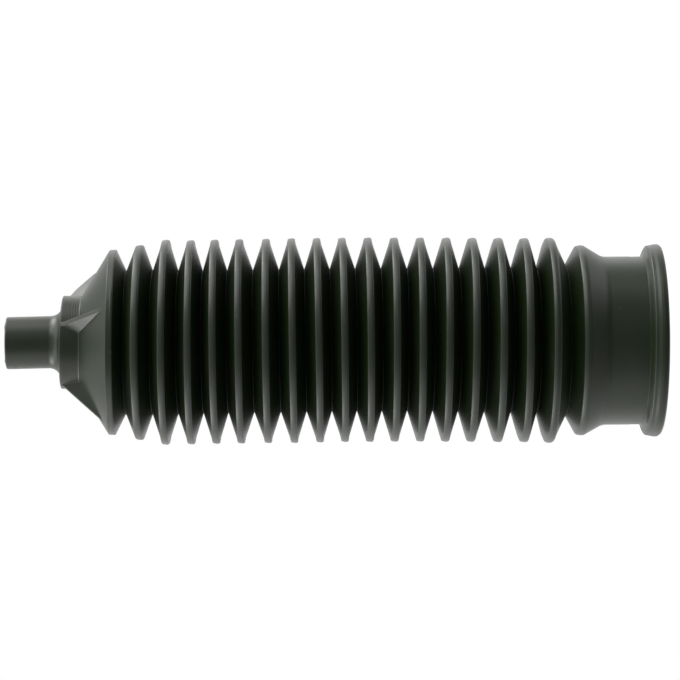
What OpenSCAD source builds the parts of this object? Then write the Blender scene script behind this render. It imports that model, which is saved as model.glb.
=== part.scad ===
// Steering rack boot: one moulded rubber bellows.
// It stands on its wide end. The origin is the centre of the wide end's face, and +Z runs
// along the axis to the neck. Every length is in millimetres.

/* [Wide end] */
// Diameter of the bore that grips the rack housing
housing_bore_d = 48; // [44:0.5:56]
// Wall round that bore, under the clamp seat
seat_wall = 2.2; // [2:0.1:3]
// Length of the clamp seat
seat_len = 12.5; // [8:0.1:16]
// Height of the flange above the clamp seat
flange_h = 3.8; // [3:0.1:5]
// Width of the flange along the axis
flange_w = 5.6; // [5:0.1:9]
// Length along the axis of the flange's rounded back
flange_back_w = 2.2; // [1:0.1:3]
// Corner radius at the flange's open face
flange_corner = 1.6; // [0.5:0.1:2]
// Height of the fine step round the flange's rim, where the mould parts
rim_step = 0.15; // [0.05:0.05:0.3]
// Lead-in at the mouth of the housing bore
mouth_lead = 0.8; // [0.3:0.1:1.2]

/* [Shoulder] */
// Height of the shoulder crest above the clamp seat
shoulder_h = 3.45; // [2.8:0.05:5]
// Length of the slope between the clamp seat and the shoulder crest
slope_len = 5.9; // [4:0.05:9]
// Wall of the slope
slope_wall = 1.8; // [1.5:0.1:2]
// Width of the shoulder crest's flat top
shoulder_land = 2.1; // [1.5:0.1:3]
// Distance from the shoulder crest's middle to the first groove
shoulder_fold = 4.45; // [4:0.05:5.5]
// Depth of the first groove below the shoulder crest
shoulder_groove_h = 6.05; // [4.5:0.05:7]
// Distance from the first groove to the first full crest
first_fold = 5; // [4.5:0.05:6]

/* [Bellows] */
// Number of full crests
crests = 16; // [4:1:24]
// Distance between one crest and the next
pitch = 8; // [7.6:0.1:9.5]
// Diameter over the full crests
crest_d = 63.5; // [58:0.5:72]
// Depth of the grooves below the full crests
groove_h = 9.15; // [7.5:0.05:11]
// Drop in radius to the smaller crest before the cone
entry_drop = 1.4; // [0:0.1:2.5]
// Drop in radius to the smallest crest, where the cone begins
cone_crest_drop = 2.85; // [1:0.05:4]
// Extra distance between the last two crests
cone_crest_gap = 0.3; // [0:0.1:1.5]
// Width of the flat at the bottom of a groove
groove_land = 0.4; // [0.2:0.1:0.8]
// Width of a crest's flat top, corners included
crest_land = 2.1; // [1.8:0.1:2.5]
// Width of the solid rim where it meets the folds
rim_w = 2.75; // [2.5:0.05:3.1]
// Width of the rim at the first full crest, the widest one
first_rim_w = 3.4; // [2.8:0.05:3.6]
// Number of crests over which the rims narrow from the first one's width to the rest
rim_taper_crests = 8; // [1:1:12]
// Height of the solid rim on a full crest
rim_h = 1.75; // [1:0.05:2.4]
// Height of the rim on the two small crests and on the shoulder crest
low_rim_h = 0.5; // [0.4:0.1:0.8]
// Width that such a low rim gains down to its foot
low_rim_flare = 0.3; // [0.1:0.1:0.6]
// Corner radius of the crests
crest_corner = 0.35; // [0.1:0.05:0.5]
// Wall of the folds
wall = 1.2; // [1:0.05:1.35]

/* [Cone and boss] */
// Wall of the cone
cone_wall = 1.8; // [1.4:0.1:2.2]
// Length of the cone, from the middle of the smallest crest to the boss
cone_len = 9.7; // [8.5:0.1:12]
// Diameter of the boss
boss_d = 28.8; // [27:0.2:32]
// Length of the boss
boss_len = 5.9; // [5:0.1:8]
// Wall of the boss and of its end
boss_wall = 2.1; // [1.6:0.1:2.6]
// Corner radius at the boss's end
boss_corner = 0.5; // [0.2:0.1:1]

/* [Neck] */
// Diameter of the bore that grips the tie rod
rod_bore_d = 12; // [10:0.5:13]
// Wall of the neck
neck_wall = 2.05; // [1.6:0.05:2.5]
// Length of the neck beyond the boss
neck_len = 17.4; // [14:0.1:24]
// Fillet radius between the neck and the boss
neck_fillet = 3.9; // [2:0.1:4.4]
// Corner radius and lead-in at the neck's tip
tip_round = 0.5; // [0.2:0.1:0.8]

/* [Gussets] */
// Number of gussets between the boss and the cone
gussets = 4; // [2:1:6]
// Angle between a gusset's ridge and the axis
gusset_angle = 44; // [40:1:48]
// Distance from the boss's end to the start of a ridge
gusset_setback = 0.8; // [0.3:0.1:1.5]
// Width of a gusset's ridge, bevels included
ridge_w = 1.1; // [0.8:0.1:2]
// Bevel along both edges of a ridge
ridge_bevel = 0.15; // [0.05:0.05:0.3]
// Angle between a gusset's side and its middle plane
gusset_flare = 31; // [15:1:34]

/* [Hidden] */

// Facets of a full turn, and steps in a quarter of a profile's round
$fn = 144;
round_steps = 6;
corner_steps = 2;
// Length by which a cutting shape runs past the face that it cuts
past = 1;
// Length by which a gusset's two ends are buried
bury = 0.6;

bore_r = housing_bore_d / 2;
seat_r = bore_r + seat_wall;
flange_r = seat_r + flange_h;
shoulder_r = seat_r + shoulder_h;
boss_r = boss_d / 2;
rod_r = rod_bore_d / 2;
neck_r = rod_r + neck_wall;

// Heights above the open face
seat_end_z = flange_w + seat_len;
shoulder_z = seat_end_z + slope_len + shoulder_land / 2;
first_groove_z = shoulder_z + shoulder_fold;
first_crest_z = first_groove_z + first_fold;

// Crests are numbered from the wide end: 0 is the shoulder crest, 1 to crests are the full
// ones, and the last two lead up to the cone.
entry_crest = crests + 1;
cone_crest = crests + 2;
function crest_z(i) = i == 0 ? shoulder_z
    : first_crest_z + (i - 1) * pitch + (i == cone_crest ? cone_crest_gap : 0);
function crest_r(i) = i == 0 ? shoulder_r
    : crest_d / 2 - (i == entry_crest ? entry_drop : i == cone_crest ? cone_crest_drop : 0);
function crest_rim_h(i) = i == 0 || i >= entry_crest ? low_rim_h : rim_h;
function crest_land_w(i) = i == 0 ? shoulder_land : crest_land;
function rim_foot_w(i) = i == 0 || i >= entry_crest ? crest_land_w(i) + low_rim_flare
    : rim_w + (first_rim_w - rim_w) * max(0, 1 - (i - 1) / rim_taper_crests);
function rim_half(i) = rim_foot_w(i) / 2;
function rim_foot_r(i) = crest_r(i) - crest_rim_h(i);

// Groove i lies between crests i and i + 1.
function groove_z(i) = i == 0 ? first_groove_z : (crest_z(i) + crest_z(i + 1)) / 2;
function groove_r(i) = i == 0 ? shoulder_r - shoulder_groove_h : crest_d / 2 - groove_h;

// How far a fold runs along the axis for each millimetre of radius, on the side of crest i
// that faces groove g
function fold_slope(i, g) =
    (abs(groove_z(g) - crest_z(i)) - rim_half(i) - groove_land / 2) / (rim_foot_r(i) - groove_r(g));
// Half the width inside crest i at radius r, on the side that faces groove g
function inner_half(i, g, r) = let (s = fold_slope(i, g))
    rim_half(i) + (rim_foot_r(i) - r) * s - wall * sqrt(1 + s * s);

// Points of a round, in [radius, height] order as rotate_extrude takes them
function oval_points(centre, reach, from, to, steps) =
    [for (k = [0 : steps]) let (a = from + (to - from) * k / steps)
        centre + [reach[0] * cos(a), reach[1] * sin(a)]];
function arc_points(centre, r, from, to, steps) = oval_points(centre, [r, r], from, to, steps);

// The cone's outer line runs from the boss to the top corner of the cone crest.
cone_foot = [crest_r(cone_crest) - crest_corner, crest_z(cone_crest) + crest_land / 2];
boss_z = crest_z(cone_crest) + cone_len;
cone_run = (boss_z - cone_foot[1]) / (cone_foot[0] - boss_r);
function cone_z(r) = boss_z - (r - boss_r) * cone_run;
boss_end_z = boss_z + boss_len;
tip_z = boss_end_z + neck_len;

// The shoulder's slope, from the clamp seat up to the shoulder crest
slope_start = [seat_r, seat_end_z];
slope_end = [shoulder_r - crest_corner, shoulder_z - shoulder_land / 2];
slope_run = (slope_end[0] - slope_start[0]) / (slope_end[1] - slope_start[1]);
shoulder_inner_r = slope_end[0] - slope_wall * sqrt(1 + slope_run * slope_run);
bore_end_z = slope_end[1] - (shoulder_inner_r - bore_r) / slope_run;

// Outline of one crest, from its lower rim foot to its upper one
function crest_top(i) = let (
        z = crest_z(i), r = crest_r(i) - crest_corner, half = crest_land_w(i) / 2 - crest_corner
    ) concat(
        arc_points([r, z - half], crest_corner, -90, 0, corner_steps),
        arc_points([r, z + half], crest_corner, 0, 90, corner_steps));
function rim_foot(i, side) = [rim_foot_r(i), crest_z(i) + side * rim_half(i)];
function groove_floor(i) = [for (side = [-1, 1]) [groove_r(i), groove_z(i) + side * groove_land / 2]];

flange_outline = let (step_z = flange_w - flange_back_w) concat(
    arc_points([flange_r - flange_corner, flange_corner], flange_corner, -90, 0, round_steps),
    [[flange_r, step_z - 2 * rim_step], [flange_r - rim_step, step_z]],
    oval_points([seat_r, step_z], [flange_r - rim_step - seat_r, flange_back_w], 0, 90, round_steps));
bellows_outline = concat(
    crest_top(0), [rim_foot(0, 1)],
    [for (i = [1 : cone_crest]) each concat(
        groove_floor(i - 1), [rim_foot(i, -1)], crest_top(i), i == cone_crest ? [] : [rim_foot(i, 1)])]);
neck_outline = concat(
    arc_points([boss_r - boss_corner, boss_end_z - boss_corner], boss_corner, 0, 90, corner_steps),
    arc_points([neck_r + neck_fillet, boss_end_z + neck_fillet], neck_fillet, 270, 180, round_steps),
    arc_points([neck_r - tip_round, tip_z - tip_round], tip_round, 0, 90, corner_steps));

// The whole outer form, solid right through to the axis
module outer_form() {
    rotate_extrude()
        polygon(concat(
            [[0, 0]], flange_outline, [slope_start], bellows_outline,
            [[boss_r, boss_z]], neck_outline, [[0, tip_z]]));
}

// The space inside: housing bore, folds, cone, boss and rod bore
module inner_space() {
    cone_tip_r = rim_foot_r(cone_crest) - wall;
    boss_inner_r = boss_r - boss_wall;
    cone_drop = cone_wall * sqrt(1 + cone_run * cone_run);
    mouth = [
        [0, -past], [bore_r + mouth_lead + past, -past], [bore_r, mouth_lead],
        [bore_r, bore_end_z], [shoulder_inner_r, slope_end[1]]];
    folds = [for (i = [0 : cone_crest - 1]) each let (
            tip = i == 0 ? shoulder_inner_r : rim_foot_r(i) - wall,
            next_tip = rim_foot_r(i + 1) - wall,
            web = groove_r(i) - wall
        ) [
            [tip, crest_z(i) + inner_half(i, i, tip)],
            [web, crest_z(i) + inner_half(i, i, web)],
            [web, crest_z(i + 1) - inner_half(i + 1, i, web)],
            [next_tip, crest_z(i + 1) - inner_half(i + 1, i, next_tip)]
        ]];
    nose = [
        [cone_tip_r, cone_z(cone_tip_r) - cone_drop],
        [boss_inner_r, cone_z(boss_inner_r) - cone_drop],
        [boss_inner_r, boss_end_z - boss_wall], [rod_r, boss_end_z - boss_wall],
        [rod_r, tip_z - tip_round], [rod_r + tip_round + past, tip_z + past], [0, tip_z + past]];
    rotate_extrude()
        polygon(concat(mouth, folds, nose));
}

// One gusset: a bar with flared sides along the slanted ridge, kept above the cone crest
module gusset() {
    ridge_z = boss_end_z - gusset_setback;
    meet_z = (boss_z / cone_run - ridge_z * tan(gusset_angle)) / (1 / cone_run - tan(gusset_angle));
    ridge_len = (ridge_z - meet_z) / cos(gusset_angle);
    half = ridge_w / 2;
    depth = (ridge_z - boss_z) * sin(gusset_angle) + past;
    base_half = half + depth * tan(gusset_flare);
    intersection() {
        translate([boss_r, 0, ridge_z])
            rotate([0, 180 - gusset_angle, 0])
                translate([0, 0, -bury])
                    linear_extrude(ridge_len + 2 * bury)
                        polygon([
                            [0, -half + ridge_bevel], [0, half - ridge_bevel],
                            [ridge_bevel, half], [depth, base_half],
                            [depth, -base_half], [ridge_bevel, -half]]);
        translate([0, 0, crest_z(cone_crest)])
            cylinder(h = boss_end_z - crest_z(cone_crest), r = crest_r(cone_crest));
    }
}

module rack_boot() {
    color("#1b1c1b")
        difference() {
            union() {
                outer_form();
                for (k = [0 : gussets - 1])
                    rotate([0, 0, k * 360 / gussets])
                        gusset();
            }
            inner_space();
        }
}

rack_boot();
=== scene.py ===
"""Looks for the steering rack boot: one moulded rubber bellows, standing on its wide end.

Lengths are in millimetres until a vertex or the camera is placed, and MM turns them into metres.
Profile points are [radius, height]. The camera lies on its side, as in the photograph, so the
boot's axis runs across the picture with the neck at the left.
"""

import math

import bpy
import numpy as np
from mathutils import Matrix, Vector


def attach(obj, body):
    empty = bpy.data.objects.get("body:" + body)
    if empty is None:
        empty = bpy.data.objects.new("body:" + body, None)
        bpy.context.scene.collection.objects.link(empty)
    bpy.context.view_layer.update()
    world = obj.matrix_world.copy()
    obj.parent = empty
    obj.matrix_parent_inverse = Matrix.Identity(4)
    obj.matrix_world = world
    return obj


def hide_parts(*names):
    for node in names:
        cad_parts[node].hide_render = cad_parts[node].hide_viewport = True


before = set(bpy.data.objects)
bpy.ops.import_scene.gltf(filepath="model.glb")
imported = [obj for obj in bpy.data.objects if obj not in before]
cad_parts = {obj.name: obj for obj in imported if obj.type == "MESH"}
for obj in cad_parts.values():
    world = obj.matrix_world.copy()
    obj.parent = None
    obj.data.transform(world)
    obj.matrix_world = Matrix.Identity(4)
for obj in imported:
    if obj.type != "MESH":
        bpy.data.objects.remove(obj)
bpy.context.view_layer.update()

MM = 0.001
TOLERANCE = 0.01
NO_LENGTH = 1e-6

# Wide end
BORE_R = 24.0
SEAT_R = 26.2
FLANGE_W = 5.6
# The flange's outside from its face to its foot: radius, height and the round of each corner
FLANGE = ((30.0, 0.0, 1.2), (30.0, 1.7, 1.2), (29.93, 2.4, 1.0), (29.69, 3.35, 0.3),
          (29.58, 4.3, 0.4), (28.6, 4.87, 0.2), (27.3, 5.06, 0.2), (26.6, 5.36, 0.2),
          (SEAT_R, FLANGE_W, 0.06))
MOUTH_LEAD = 0.8
MOUTH_ROUND = 0.2
SEAT_END = 18.1

# Shoulder
SHOULDER_R = 29.65
SHOULDER_Z = 25.05
SHOULDER_LAND = 2.1
SHOULDER_ROUND = 0.7
FIRST_GROOVE_Z = 29.5
FIRST_GROOVE_R = 23.6
SLOPE_WALL = 1.8
SLOPE_ROUND = 5.0
SLOPE_END_DROP = 0.3

# Bellows
CRESTS = 16
PITCH = 8.0
FIRST_CREST_Z = 34.5
CREST_R = 31.75
ENTRY_CREST_R = 30.35
CONE_CREST_R = 28.9
CONE_CREST_GAP = 0.3
GROOVE_R = 22.6
GROOVE_LAND = 0.4
GROOVE_ROUND = 0.05
WALL = 1.2
CREST_LAND = 2.1
RIM_W = 2.75
FIRST_RIM_W = 3.4
RIM_TAPER_CRESTS = 8
RIM_H = 1.75
LOW_RIM_H = 0.5
LOW_RIM_FLARE = 0.3

# A crest's top: the rounds of its two corners, how the corner on the wide end's side stands out,
# how far the top falls off towards the neck, and where along it, in half lands, its points lie on
# the shoulder crest, the first crest and the others
CREST_ROUND = 0.35
CREST_BACK_ROUND = 0.6
FIRST_BACK_ROUND = 1.2
CREST_BACK_DROP = 0.04
CREST_BACK_REACH = 0.07
CREST_CROWN = 0.25
CROWN_START = -0.5
CROWN_AT = ((-0.2, 0.0, 0.2), (0.1, 0.25, 0.4, 0.52), (-0.45, -0.1, 0.25, 0.56))

# Cone, boss and neck
CONE_WALL = 1.8
CONE_FOOT_DROP = 0.3
CONE_CREST_DROP = 0.1
CONE_CREST_REACH = 0.12
CONE_CREST_ROUND = 0.3
BOSS_R = 14.4
BOSS_Z = 180.5
BOSS_END = 186.4
BOSS_WALL = 2.1
BOSS_ROUND = 0.35
JUNCTION_ROUND = 0.5
NECK_R = 8.05
NECK_FILLET = 3.9
ROD_R = 6.0
TIP_Z = 203.8
TIP_ROUND = 0.5

# Gussets
GUSSETS = 4
GUSSET_START = 185.6
GUSSET_ANGLE = math.radians(44)
GUSSET_FLARE = math.radians(31)
GUSSET_FILLET = 0.12
RIDGE_HALF = 0.55
RIDGE_ROUND = 0.15
# The rise above the cone at which a gusset's fillet and ridge have their full size
FULL_RISE = 1.2
# How much higher each gusset stands than the rest, from +X on, and the heights between which that
# fades out at its foot and at its start
GUSSET_LIFT = (0.7, 0, 0, 0)
LIFT_FOOT = (175.8, 177.0)
LIFT_START = (GUSSET_START - 3.5, GUSSET_START)

# How the soft rubber has set, at the flange, the seat, the shoulder crest, the sixteen crests, the
# two smaller ones, the boss, the neck's foot and its tip. Millimetres: a shift towards the neck, a
# swell of the radius, a rise of the axis towards the photograph's top. Degrees: a tilt that brings
# the lower edge to the right, and one that brings the near edge to the right.
SHIFT = (0, 0, 0, -0.02, -0.11, 0.02, 0.26, 0.27, 0.25, 0.31, 0.28, 0.15, -0.02, -0.08, -0.06,
         0.31, 0.05, -0.33, -0.45, -0.39, -0.16, 0, 0, 0)
SWELL = (0.06, 0.05, 0.04, 0.33, 0.14, 0.16, 0.12, 0.14, 0.12, 0.14, 0.18, 0.16, 0.2, 0.24, 0.17,
         0.17, 0.15, 0.14, 0.27, 0.1, 0.06, 0.15, 0.11, 0.1)
RISE = (-0.05, -0.1, 0.06, 0.1, 0.17, 0.25, 0.34, 0.42, 0.48, 0.49, 0.5, 0.48, 0.4, 0.29, 0.24,
        0.13, 0.04, -0.09, -0.06, -0.12, -0.03, 0.04, 0.12, -0.17)
TILT = (-0.45, 0, 0, -0.28, -0.21, -0.29, -0.58, -0.45, -0.15, 0.01, 0.43, 0.69, 0.8, 0.73, 0.46,
        0.39, 0.32, -0.03, -0.27, -0.23, -0.51, -1.5, -0.8, 0)
NEAR_TILT = (0.1, 0, 0.8, 0.8, 0, 0.22, 0.2, 0.02, -0.24, 0.25, 0.34, 0.15, 0.14, -0.08, -0.32,
             -0.14, -0.32, -0.2, -0.46, -0.74, 0.75, 0, 0, 0)
NECK_FOOT_Z = 191.0
# The foot's face stays flat and in place up to this height
LEVEL_FOOT = 0.3
# Nothing swells up to this radius, so the rod's bore keeps its size
UNSWOLLEN_R = ROD_R + 0.5
# Flash on the neck's tip: degrees from the camera's side, height, and width in degrees
FLASH = ((42, 0.16, 9), (-47, 0.14, 8), (150, 0.12, 12), (-160, 0.1, 9))
FLASH_DEPTH = 1.0

# Columns of the mesh: half a gusset's, no closer than the least gap, and those between gussets
HALF_GUSSET_COLUMNS = 11
LEAST_GAP = 0.02
FIELD_COLUMNS = 17
# Distance between rings of the mesh among the gussets and on the cone crest
RING_GAP = 1.0
CREST_RING_GAP = 0.12

# Rubber colours: two that it drifts between, and where it has bloomed, is rubbed or carries dust
RUBBER_DEEP = (0.0068, 0.0162, 0.0026, 1)
RUBBER_PALE = (0.0098, 0.018, 0.0052, 1)
BLOOM_COLOUR = (0.017, 0.02, 0.016, 1)
RUBBED_COLOUR = (0.016, 0.019, 0.015, 1)
DUST_COLOUR = (0.11, 0.11, 0.1, 1)
# How far each of these covers the colour under it
BLOOM_SHARE = 0.5
RUBBED_SHARE = 0.5
DUST_SHARE = 0.55
RUBBER_IOR = 1.6
# Roughness of the plain rubber, and what each of these adds to it
ROUGHNESS = 0.315
SMEAR_ROUGH = 0.08
LUMP_ROUGH = 0.03
NECK_ROUGH = 0.3
BLOOM_ROUGH = 0.04
RUBBED_ROUGH = -0.03
DUST_ROUGH = 0.2
# Height of each in the bump, and the millimetres that a bump of 1 stands for
GRAIN_BUMP = 0.5
LUMP_BUMP = 0.8
TOOL_RING_BUMP = 0.7
DUST_BUMP = 1.5
BUMP_DEPTH = 0.012
# Millimetres: the sizes of the grain, lumps and smears, the cells that hold a speck of dust each,
# and the pitch of the boss's tool rings
GRAIN_SIZE = 0.35
LUMP_SIZE = 1.6
SMEAR_SIZE = 14.0
SPECK_CELL = 4.5
TOOL_RING_PITCH = 0.75
# A speck's largest radius, in cells, and the numbers drawn for a cell between which it grows to it
SPECK_R = 0.055
SPECK_DRAW = (0.6, 1.0)
# The levels of noise between which bloom and rubbing come in, and how patchy bloom and dust are
BLOOM_NOISE = (0.52, 0.72)
RUBBED_NOISE = (0.35, 0.7)
PATCHINESS = 0.8
# Radii between which crests are rubbed, and heights between which the neck's patches and the tool
# rings come in and the tool rings end
RUBBED_RADII = (CREST_R - 0.9, CREST_R + 0.1)
NECK_HEIGHTS = (BOSS_END + 2.0, BOSS_END + 6.0)
TOOL_RINGS_IN = (BOSS_Z + 0.2, BOSS_Z + 0.6)
TOOL_RINGS_OUT = (BOSS_Z + 2.6, BOSS_Z + 3.2)

# The photograph's view: millimetres a pixel at the axis, and where it looks
FRAME_PX = 680
PX = 0.3125
FACE_PX = 658.94
SQUARE_PX = 305.0
AXIS_DROP_PX = 1.67
ROLL = math.radians(-0.22)
DISTANCE = 3000 * PX
CAMERA_ANGLE = math.radians(-112.5)
SENSOR_MM = 36

# The light tent: its even level, and brighter parts of three kinds. Each kind has a tightness, and
# each part the turn from the camera's side towards the photograph's top, the lift towards the
# neck, both in degrees, and a strength.
TENT_LEVEL = 0.1
TENT = {
    # Lamps along both long sides of the boot, and two weak ones beside the camera
    45: ((60, 28, 4), (100, 28, 7), (120, 28, 5), (80, 12, 2), (-100, 28, 6), (-78, 28, 1.6),
         (-55, 10, 0.8), (-80, 12, 0.4), (30, 10, 0.4), (-30, 10, 0.15)),
    # Soft panels over both sides, behind the boot and at its neck
    12: ((90, 60, 1.7), (-90, 60, 1.6), (60, 40, 0.7), (-60, 35, 0.65), (100, -40, 0.9),
         (140, 0, 0.9), (-120, 0, 0.5), (-80, -20, 0.5), (-140, 20, 0.4), (0, 90, 0.6),
         (0, 35, 0.55)),
    # The tent's far wall, and what its lower corner throws back
    3: ((180, 0, 0.9), (-120, -50, 0.4)),
}

# The table, just under the boot's face, and how white it looks to the camera
TABLE_R = 90.0
TABLE_Z = -0.01
TABLE_SIDES = 96
TABLE_COLOUR = (0.28, 0.28, 0.28, 1)
TABLE_ROUGHNESS = 0.9
TABLE_GLOW = 0.8
WHITE = (1, 1, 1, 1)


def toward(angle):
    """Level unit vector at that angle about the axis."""
    return Vector((math.cos(angle), math.sin(angle), 0.0))


VIEWER = toward(CAMERA_ANGLE)
PHOTO_UP = toward(CAMERA_ANGLE + math.pi / 2)
PHOTO_LEFT = Vector((0.0, 0.0, 1.0))


def photo_z(x):
    """Height above the open face of what lies at photograph column x."""
    return (FACE_PX - x) * PX


def blend(value, start, end):
    """0 at start and 1 at end, with a smooth passage between them."""
    t = max(0.0, min(1.0, (value - start) / (end - start)))
    return t * t * (3 - 2 * t)


# Crests are numbered from the wide end: 0 is the shoulder crest, 1 to CRESTS are the full ones,
# and two smaller ones lead up to the cone. Groove i lies between crests i and i + 1.
ENTRY_CREST = CRESTS + 1
CONE_CREST = CRESTS + 2


def crest_z(i):
    if i == 0:
        return SHOULDER_Z
    return FIRST_CREST_Z + (i - 1) * PITCH + (CONE_CREST_GAP if i == CONE_CREST else 0)


def crest_r(i):
    return {0: SHOULDER_R, ENTRY_CREST: ENTRY_CREST_R, CONE_CREST: CONE_CREST_R}.get(i, CREST_R)


def rim_h(i):
    return LOW_RIM_H if i == 0 or i >= ENTRY_CREST else RIM_H


def land_half(i):
    return (SHOULDER_LAND if i == 0 else CREST_LAND) / 2


def rim_half(i):
    """Half the width at the foot of crest i's rim; the first few rims are wider."""
    if i == 0 or i >= ENTRY_CREST:
        return land_half(i) + LOW_RIM_FLARE / 2
    return (RIM_W + (FIRST_RIM_W - RIM_W) * max(0.0, 1 - (i - 1) / RIM_TAPER_CRESTS)) / 2


def groove_z(i):
    return FIRST_GROOVE_Z if i == 0 else (crest_z(i) + crest_z(i + 1)) / 2


def groove_r(i):
    return FIRST_GROOVE_R if i == 0 else GROOVE_R


def fold_slope(i, g):
    """Millimetres along the axis for each one of radius, on crest i's side facing groove g."""
    run = abs(groove_z(g) - crest_z(i)) - rim_half(i) - GROOVE_LAND / 2
    return run / (crest_r(i) - rim_h(i) - groove_r(g))


def inner_half(i, g, r):
    """Half the width inside crest i at radius r, on its side facing groove g."""
    slope = fold_slope(i, g)
    return rim_half(i) + (crest_r(i) - rim_h(i) - r) * slope - WALL * math.hypot(1, slope)


CONE_FOOT_R = CONE_CREST_R - CONE_FOOT_DROP
CONE_FOOT_Z = crest_z(CONE_CREST) + CREST_LAND / 2
CONE_RUN = (BOSS_Z - CONE_FOOT_Z) / (CONE_FOOT_R - BOSS_R)

# The heights that the closer rings lie between, and those over which the mesh's columns gather at
# the gussets and spread out again
RINGS_LOW, RINGS_HIGH = CONE_FOOT_Z - 2.0, BOSS_END + 1.0
CREST_RINGS_END = CONE_FOOT_Z + 0.2
GATHER = (CONE_FOOT_Z - 1.9, CONE_FOOT_Z - 0.2)
SPREAD = (BOSS_END, BOSS_END + 3.0)


def cone_z(r):
    return BOSS_Z - (r - BOSS_R) * CONE_RUN


def corner(r, z, radius=0.0, steps=3):
    """A corner of the section, with the radius that rounds it and the steps of its arc."""
    return {"at": np.array((r, z)), "round": radius, "steps": steps}


def rounded(corners):
    """The closed section's points, with each corner's round worked out as an arc."""
    points = []
    for k, c in enumerate(corners):
        if not c["round"]:
            points.append(c["at"])
            continue
        before = corners[k - 1]["at"] - c["at"]
        after = corners[(k + 1) % len(corners)]["at"] - c["at"]
        into, out = before / np.linalg.norm(before), after / np.linalg.norm(after)
        half = math.acos(max(-1.0, min(1.0, float(into @ out)))) / 2
        reach = c["round"] / math.tan(half)
        bisector = (into + out) / np.linalg.norm(into + out)
        centre = c["at"] + bisector * c["round"] / math.sin(half)
        first, last = c["at"] + into * reach - centre, c["at"] + out * reach - centre
        turn = math.acos(max(-1.0, min(1.0, float(first @ last) / c["round"] ** 2)))
        for s in range(c["steps"] + 1):
            t = s / c["steps"]
            arm = (first * math.sin((1 - t) * turn) + last * math.sin(t * turn)) / math.sin(turn)
            points.append(centre + arm)
    return points


def crest_top(i):
    """A crest's top between its two rounded corners, wide end first, falling off to the neck."""
    r, z, half = crest_r(i), crest_z(i), land_half(i)
    back_round = {0: SHOULDER_ROUND, 1: FIRST_BACK_ROUND}.get(i, CREST_BACK_ROUND)
    front_round = SHOULDER_ROUND if i == 0 else CREST_ROUND
    drop = CREST_CROWN / (1 - CROWN_START) ** 2
    crown = CROWN_AT[min(i, len(CROWN_AT) - 1)]
    return [
        corner(r - CREST_BACK_DROP, z - half - CREST_BACK_REACH, back_round, steps=5),
        *(corner(r - drop * (t - CROWN_START) ** 2, z + half * t) for t in crown),
        corner(r - CREST_CROWN, z + half, front_round, steps=5),
    ]


def outer_corners():
    """The outside, from the mouth to the start of the cone crest."""
    corners = [
        corner(BORE_R + MOUTH_LEAD, 0, MOUTH_ROUND, steps=2),
        *(corner(r, z, round_r, steps=4 if z else 8) for r, z, round_r in FLANGE),
        corner(SEAT_R, SEAT_END, SLOPE_ROUND, steps=8),
        *crest_top(0),
        corner(SHOULDER_R - LOW_RIM_H, SHOULDER_Z + rim_half(0)),
    ]
    for i in range(1, CONE_CREST + 1):
        low_slope, high_slope = fold_slope(i - 1, i - 1), fold_slope(i, i - 1)
        apex = groove_r(i - 1) - GROOVE_LAND / (low_slope + high_slope)
        corners.append(corner(apex, groove_z(i - 1), GROOVE_ROUND, steps=2))
        corners.append(corner(crest_r(i) - rim_h(i), crest_z(i) - rim_half(i)))
        if i < CONE_CREST:
            corners += crest_top(i)
            corners.append(corner(crest_r(i) - rim_h(i), crest_z(i) + rim_half(i)))
        else:
            corners.append(corner(crest_r(i), crest_z(i) - land_half(i), CREST_ROUND, steps=4))
    return corners


def nose_corners():
    """From the corner where the cone crest's top meets the cone to the neck's tip."""
    return [
        corner(CONE_CREST_R - CONE_CREST_DROP, cone_z(CONE_CREST_R) + CONE_CREST_REACH,
               CONE_CREST_ROUND, steps=4),
        corner(BOSS_R, BOSS_Z, JUNCTION_ROUND, steps=4),
        corner(BOSS_R, BOSS_END, BOSS_ROUND, steps=3),
        corner(NECK_R, BOSS_END, NECK_FILLET, steps=9),
        corner(NECK_R, TIP_Z, TIP_ROUND, steps=4),
    ]


def inner_corners():
    """The inside, from the neck's tip back down to the mouth."""
    cone_drop = CONE_WALL * math.hypot(1, CONE_RUN)
    boss_inner = BOSS_R - BOSS_WALL
    cone_tip = CONE_CREST_R - LOW_RIM_H - WALL
    corners = [
        corner(ROD_R, TIP_Z, TIP_ROUND, steps=2),
        corner(ROD_R, BOSS_END - BOSS_WALL),
        corner(boss_inner, BOSS_END - BOSS_WALL),
        corner(boss_inner, cone_z(boss_inner) - cone_drop),
        corner(cone_tip, cone_z(cone_tip) - cone_drop),
    ]
    slope_end_r, slope_end_z = SHOULDER_R - SLOPE_END_DROP, SHOULDER_Z - SHOULDER_LAND / 2
    slope = (slope_end_r - SEAT_R) / (slope_end_z - SEAT_END)
    shoulder_inner = slope_end_r - SLOPE_WALL * math.hypot(1, slope)
    for i in reversed(range(CONE_CREST)):
        tip = shoulder_inner if i == 0 else crest_r(i) - rim_h(i) - WALL
        next_tip = crest_r(i + 1) - rim_h(i + 1) - WALL
        web = groove_r(i) - WALL
        corners.append(corner(next_tip, crest_z(i + 1) - inner_half(i + 1, i, next_tip)))
        corners.append(corner(web, crest_z(i + 1) - inner_half(i + 1, i, web)))
        corners.append(corner(web, crest_z(i) + inner_half(i, i, web)))
        corners.append(corner(tip, crest_z(i) + inner_half(i, i, tip)))
    corners.append(corner(shoulder_inner, slope_end_z))
    corners.append(corner(BORE_R, slope_end_z - (shoulder_inner - BORE_R) / slope))
    corners.append(corner(BORE_R, MOUTH_LEAD))
    return corners


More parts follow.
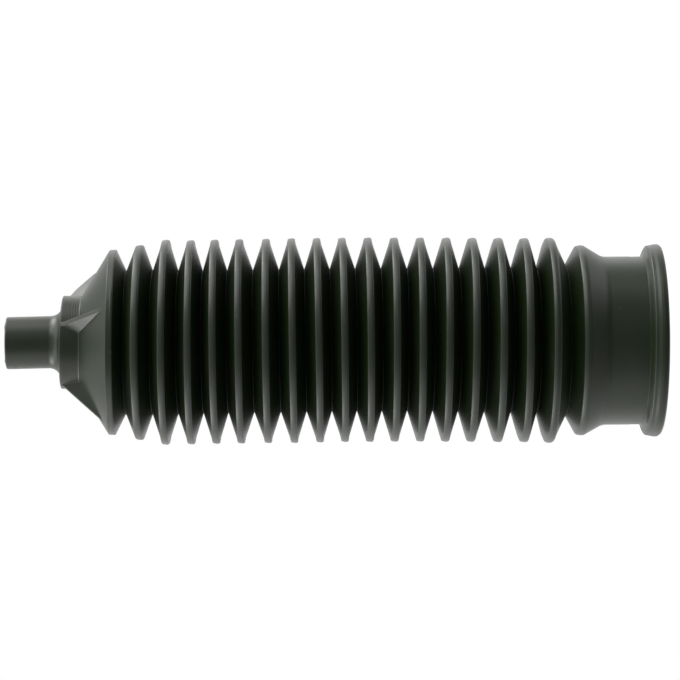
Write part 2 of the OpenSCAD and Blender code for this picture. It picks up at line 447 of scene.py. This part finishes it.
def with_rings(points):
    """The section with rings added where the gussets stand, and closer ones on the cone crest."""
    dense = []
    for a, b in zip(points, points[1:] + points[:1]):
        low, high = min(a[1], b[1]), max(a[1], b[1])
        outside = min(a[0], b[0]) >= BOSS_R - TOLERANCE
        parts = 1
        if outside and RINGS_LOW <= low and high <= RINGS_HIGH:
            gap = CREST_RING_GAP if high < CREST_RINGS_END else RING_GAP
            parts = math.ceil((high - low) / gap)
        dense.append(a)
        dense += [a + (b - a) * k / parts for k in range(1, parts)]
    return dense


def curve(a, control, b, steps):
    """Points from a to b on the curve that leaves and arrives towards the control point."""
    return [(1 - t) ** 2 * a + 2 * t * (1 - t) * control + t ** 2 * b
            for t in (s / steps for s in range(steps + 1))]


def spaced(points):
    """The same points, at least LEAST_GAP apart sideways, so that no face loses its width."""
    apart = [points[-1]]
    for p in reversed(points[:-1]):
        apart.append(np.array((max(p[0], apart[-1][0] + LEAST_GAP), p[1])))
    return apart[::-1]


def gusset_section(base_r, z, lift):
    """Half a gusset cut level at z: points [sideways, outward] from its fillet to its middle."""
    ridge = base_r
    if z < GUSSET_START:
        ridge = BOSS_R + (GUSSET_START - z) * math.tan(GUSSET_ANGLE)
        ridge += lift * (1 - blend(z, *LIFT_START)) * blend(z, *LIFT_FOOT)
    rise = max(0.0, ridge - base_r)
    spread = math.tan(GUSSET_FLARE) * math.cos(GUSSET_ANGLE)
    root_side = RIDGE_HALF + spread * rise
    for _ in range(3):
        root_out = math.sqrt(max(base_r ** 2 - root_side ** 2, 0.0))
        root_side = RIDGE_HALF + spread * max(0.0, ridge - root_out)
    root = np.array((root_side, root_out))
    top = np.array((RIDGE_HALF, max(ridge, math.sqrt(base_r ** 2 - RIDGE_HALF ** 2))))
    length = max(float(np.linalg.norm(top - root)), NO_LENGTH)
    up = (top - root) / length
    tangent = np.array((root_out, -root_side)) / base_r
    size = min(1.0, rise / FULL_RISE)
    fillet = min(GUSSET_FILLET * size, 0.4 * length)
    edge = min(RIDGE_ROUND * size, 0.4 * length)
    bevel = top - up * edge
    points = curve(root + tangent * fillet, root, root + up * fillet, 4)
    points.append((points[-1] + bevel) / 2)
    points += curve(bevel, top, top + np.array((-edge, 0.0)), 3)
    flat = points[-1]
    return spaced(points + [flat * (0.5, 1.0), flat * (0.0, 1.0)])


def half_gusset(base_r, z, share, lift):
    """Angle and radius of half a gusset's columns, from its root to its middle."""
    even = 2 * math.pi / (GUSSETS * (2 * HALF_GUSSET_COLUMNS + FIELD_COLUMNS + 1))
    section = gusset_section(base_r, z, lift)
    return [((HALF_GUSSET_COLUMNS - k) * even * (1 - share) + math.atan2(side, out) * share,
             base_r * (1 - share) + math.hypot(side, out) * share)
            for k, (side, out) in enumerate(section)]


def ring(base_r, z, share):
    """One ring of the mesh. share is 1 among the gussets and 0 where the columns are even."""
    halves = [half_gusset(base_r, z, share, lift) for lift in GUSSET_LIFT]
    quarter = 2 * math.pi / GUSSETS
    points = []
    for g, half in enumerate(halves):
        start, edge = g * quarter, half[0][0]
        gap = (quarter - edge - halves[(g + 1) % GUSSETS][0][0]) / (FIELD_COLUMNS + 1)
        points += [(start - a, r) for a, r in half]
        points += [(start + a, r) for a, r in reversed(half[:-1])]
        points += [(start + edge + gap * k, base_r) for k in range(1, FIELD_COLUMNS + 1)]
    return [(r * math.cos(a), r * math.sin(a), z) for a, r in points]


def along_boot(z, values):
    """A value given part by part, held across the flange and each rim and blended in between."""
    knots, levels = [0.0, LEVEL_FOOT, FLANGE_W, SEAT_END], [0.0, values[0], values[0], values[1]]
    for i, value in enumerate(values[2:CONE_CREST + 3]):
        knots += [crest_z(i) - rim_half(i), crest_z(i) + rim_half(i)]
        levels += [value, value]
    knots += [BOSS_END, NECK_FOOT_Z, TIP_Z]
    return np.interp(z, knots, levels + list(values[CONE_CREST + 3:]))


def posture(points):
    """The slight set of the soft rubber, and the uneven flash left by trimming the neck's tip."""
    posed = np.array(points)
    z = posed[:, 2].copy()
    up, near = np.array(PHOTO_UP), np.array(VIEWER)
    turn = np.degrees(np.arctan2(posed @ up, posed @ near))
    at_tip = np.clip((z - TIP_Z + FLASH_DEPTH) / FLASH_DEPTH, 0, 1)
    for angle, height, width in FLASH:
        away = (turn - angle + 180) % 360 - 180
        posed[:, 2] += height * np.exp(-(away / width) ** 2) * at_tip
    radius = np.hypot(posed[:, 0], posed[:, 1])
    swell = np.where(radius > UNSWOLLEN_R, along_boot(z, SWELL), 0.0)
    posed[:, :2] *= (1 + swell / radius)[:, None]
    posed[:, 2] += (along_boot(z, SHIFT)
                    + posed @ up * np.tan(np.radians(along_boot(z, TILT)))
                    - posed @ near * np.tan(np.radians(along_boot(z, NEAR_TILT))))
    posed += np.outer(along_boot(z, RISE), up)
    return posed


def boot_mesh():
    """The whole boot as one closed mesh, a grid of rings along the section and columns."""
    section = with_rings(rounded(outer_corners() + nose_corners() + inner_corners()))
    outer_end = next(k for k, p in enumerate(section) if p[1] > TIP_Z - TOLERANCE)
    verts = []
    for k, (r, z) in enumerate(section):
        share = min(blend(z, *GATHER), 1 - blend(z, *SPREAD)) if k < outer_end else 0.0
        verts += ring(r, z, share)
    rows, cols = len(section), len(verts) // len(section)
    faces = []
    for i in range(rows):
        for j in range(cols):
            a, b = i * cols + j, i * cols + (j + 1) % cols
            c, d = (b + cols) % (rows * cols), (a + cols) % (rows * cols)
            faces.append((a, b, c, d))
    mesh = bpy.data.meshes.new("bellows_boot")
    mesh.from_pydata((posture(verts) * MM).tolist(), [], faces)
    mesh.update()
    for polygon in mesh.polygons:
        polygon.use_smooth = True
    return mesh


class Tree:
    """The node tree of a material or world, with short ways to add nodes and join them."""

    def __init__(self, owner):
        owner.use_nodes = True
        self.nodes, self.links = owner.node_tree.nodes, owner.node_tree.links

    def put(self, socket, value):
        """Set a socket, or link it to another node's output."""
        if isinstance(value, bpy.types.NodeSocket):
            self.links.new(value, socket)
        else:
            socket.default_value = value

    def add(self, kind, inputs, **settings):
        """A new node, with its inputs given by name or number, and its settings."""
        node = self.nodes.new("ShaderNode" + kind)
        for name, value in settings.items():
            setattr(node, name, value)
        for key, value in inputs.items():
            self.put(node.inputs[key], value)
        return node

    def calc(self, operation, *values):
        return self.add("Math", dict(enumerate(values)), operation=operation).outputs[0]

    def ramp(self, value, low, high, start=0.0, end=1.0):
        """start below low, end above high, and a smooth passage between them."""
        inputs = {"Value": value, "From Min": low, "From Max": high,
                  "To Min": start, "To Max": end}
        return self.add("MapRange", inputs, interpolation_type="SMOOTHSTEP").outputs["Result"]

    def patchy(self, noise):
        """Noise kept away from 0."""
        return self.calc("MULTIPLY_ADD", noise, PATCHINESS, 1 - PATCHINESS)

    def noise(self, place, size, detail, roughness=0.5):
        """Noise from 0 to 1 with lumps about size mm across."""
        inputs = {"Vector": place, "Scale": 1 / size, "Detail": detail, "Roughness": roughness}
        return self.add("TexNoise", inputs).outputs[0]

    def mix(self, share, a, b):
        """Colour a, and b where share is 1."""
        return self.add("Mix", {0: share, 6: a, 7: b}, data_type="RGBA").outputs[2]

    def choose(self, share, a, b):
        """Shader a, and b where share is 1."""
        return self.add("MixShader", {0: share, 1: a, 2: b}).outputs[0]


def rubber():
    """Satin moulded rubber: grain, uneven gloss, rubbed crests, rings on the boss and dust."""
    material = bpy.data.materials.new("black_rubber")
    tree = Tree(material)
    calc, ramp, mix = tree.calc, tree.ramp, tree.mix
    surface = tree.nodes["Principled BSDF"].inputs
    surface["IOR"].default_value = RUBBER_IOR

    metres = tree.add("TexCoord", {}).outputs["Object"]
    place = tree.add("VectorMath", {0: metres, 3: 1 / MM}, operation="SCALE").outputs[0]
    x, y, z = tree.add("SeparateXYZ", {0: place}).outputs
    radius = calc("SQRT", calc("ADD", calc("MULTIPLY", x, x), calc("MULTIPLY", y, y)))

    grain = tree.noise(place, GRAIN_SIZE, 3.0)
    lumps = tree.noise(place, LUMP_SIZE, 2.0, 0.6)
    smears = tree.noise(place, SMEAR_SIZE, 3.0, 0.55)
    neck = ramp(z, *NECK_HEIGHTS)
    rubbed = calc("MULTIPLY", ramp(radius, *RUBBED_RADII), ramp(lumps, *RUBBED_NOISE))
    bloom = calc("MULTIPLY", ramp(smears, *BLOOM_NOISE), tree.patchy(lumps))
    specks = tree.add("TexVoronoi", {"Scale": 1 / SPECK_CELL, "Vector": place})
    drawn = tree.add("SeparateColor", {0: specks.outputs["Color"]}).outputs[0]
    speck_r = ramp(drawn, *SPECK_DRAW, 0.0, SPECK_R)
    on_speck = calc("GREATER_THAN", speck_r, specks.outputs["Distance"])
    dust = calc("MULTIPLY", on_speck, tree.patchy(grain))

    colour = mix(smears, RUBBER_DEEP, RUBBER_PALE)
    colour = mix(calc("MULTIPLY", bloom, BLOOM_SHARE), colour, BLOOM_COLOUR)
    colour = mix(calc("MULTIPLY", rubbed, RUBBED_SHARE), colour, RUBBED_COLOUR)
    colour = mix(calc("MULTIPLY", dust, DUST_SHARE), colour, DUST_COLOUR)
    tree.put(surface["Base Color"], colour)

    rough = calc("MULTIPLY_ADD", smears, SMEAR_ROUGH, ROUGHNESS)
    rough = calc("ADD", rough, calc("MULTIPLY_ADD", lumps, LUMP_ROUGH, -LUMP_ROUGH / 2))
    patches = calc("MULTIPLY_ADD", lumps, NECK_ROUGH, -NECK_ROUGH / 2)
    for share, amount in ((neck, patches), (bloom, BLOOM_ROUGH), (rubbed, RUBBED_ROUGH),
                          (dust, DUST_ROUGH)):
        rough = calc("MULTIPLY_ADD", share, amount, rough)
    tree.put(surface["Roughness"], rough)

    wave = calc("SINE", calc("MULTIPLY", z, 2 * math.pi / TOOL_RING_PITCH))
    on_boss = calc("MULTIPLY", ramp(z, *TOOL_RINGS_IN), ramp(z, *TOOL_RINGS_OUT, 1.0, 0.0))
    height = calc("MULTIPLY", lumps, LUMP_BUMP)
    for relief, amount in ((grain, GRAIN_BUMP), (calc("MULTIPLY", wave, on_boss), TOOL_RING_BUMP),
                           (dust, DUST_BUMP)):
        height = calc("MULTIPLY_ADD", relief, amount, height)
    bump = tree.add("Bump", {"Strength": 1.0, "Distance": BUMP_DEPTH * MM, "Height": height})
    tree.put(surface["Normal"], bump.outputs[0])
    return material


def add_boot():
    mesh = boot_mesh()
    boot = bpy.data.objects.new("bellows_boot", mesh)
    bpy.context.scene.collection.objects.link(boot)
    mesh.materials.append(rubber())
    flat = boot.modifiers.new("flat_faces", "WEIGHTED_NORMAL")
    flat.weight = 60
    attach(boot, "root")
    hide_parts("rack_boot")


def table_white():
    """Matt, white to the camera, and clear to glossy rays."""
    material = bpy.data.materials.new("floor_white")
    tree = Tree(material)
    matt = tree.nodes["Principled BSDF"]
    matt.inputs["Base Color"].default_value = TABLE_COLOUR
    matt.inputs["Roughness"].default_value = TABLE_ROUGHNESS
    ray = tree.add("LightPath", {}).outputs
    strength = tree.calc("MULTIPLY", ray["Is Camera Ray"], TABLE_GLOW)
    glow = tree.add("Emission", {"Strength": strength})
    lit = tree.add("AddShader", {0: matt.outputs[0], 1: glow.outputs[0]}).outputs[0]
    clear = tree.add("BsdfTransparent", {}).outputs[0]
    tree.put(tree.nodes["Material Output"].inputs["Surface"],
             tree.choose(ray["Is Glossy Ray"], lit, clear))
    return material


def add_floor():
    """A round white table, which the boot's gloss doesn't show, as in the photograph."""
    rim = [(TABLE_R * math.cos(a) * MM, TABLE_R * math.sin(a) * MM, TABLE_Z * MM)
           for a in np.linspace(0, 2 * math.pi, TABLE_SIDES, endpoint=False)]
    mesh = bpy.data.meshes.new("floor")
    mesh.from_pydata(rim, [], [tuple(range(TABLE_SIDES))])
    mesh.materials.append(table_white())
    floor = bpy.data.objects.new("floor", mesh)
    bpy.context.scene.collection.objects.link(floor)


def add_world():
    """A light tent, dim on the photographer's side and bright where the lamps shine on it."""
    world = bpy.data.worlds.new("tent")
    bpy.context.scene.world = world
    tree = Tree(world)
    tree.nodes.clear()
    direction = tree.add("TexCoord", {}).outputs["Generated"]
    level = TENT_LEVEL
    for tightness, parts in TENT.items():
        for azimuth, elevation, strength in parts:
            turn, lift = math.radians(azimuth), math.radians(elevation)
            level_part = VIEWER * math.cos(turn) + PHOTO_UP * math.sin(turn)
            centre = level_part * math.cos(lift) + PHOTO_LEFT * math.sin(lift)
            facing = tree.add("VectorMath", {0: direction, 1: centre}, operation="DOT_PRODUCT")
            fall = tree.calc("MULTIPLY_ADD", facing.outputs["Value"], tightness, -tightness)
            level = tree.calc("MULTIPLY_ADD", tree.calc("EXPONENT", fall), strength, level)
    lit = tree.add("Background", {"Color": WHITE, "Strength": level}).outputs[0]
    white = tree.add("Background", {"Color": WHITE}).outputs[0]
    seen = tree.add("LightPath", {}).outputs["Is Camera Ray"]
    tree.add("OutputWorld", {0: tree.choose(seen, lit, white)})


def add_camera():
    """Square to the boot's axis, with the frame shifted along it as in the photograph."""
    camera = bpy.data.objects.new("camera", bpy.data.cameras.new("camera"))
    bpy.context.scene.collection.objects.link(camera)
    spot = VIEWER * DISTANCE + PHOTO_LEFT * photo_z(SQUARE_PX) + PHOTO_UP * AXIS_DROP_PX * PX
    turn = Matrix.Rotation(ROLL, 3, VIEWER)
    rotation = turn @ Matrix((-PHOTO_LEFT, PHOTO_UP, VIEWER)).transposed()
    camera.matrix_world = Matrix.Translation(spot * MM) @ rotation.to_4x4()
    camera.data.sensor_width = SENSOR_MM
    camera.data.lens = SENSOR_MM * DISTANCE / (FRAME_PX * PX)
    camera.data.shift_x = (FRAME_PX / 2 - SQUARE_PX) / FRAME_PX
    camera.data.clip_start = 0.01
    bpy.context.scene.camera = camera


add_camera()
add_boot()
add_floor()
add_world()

bpy.context.scene.view_settings.view_transform = "Standard"
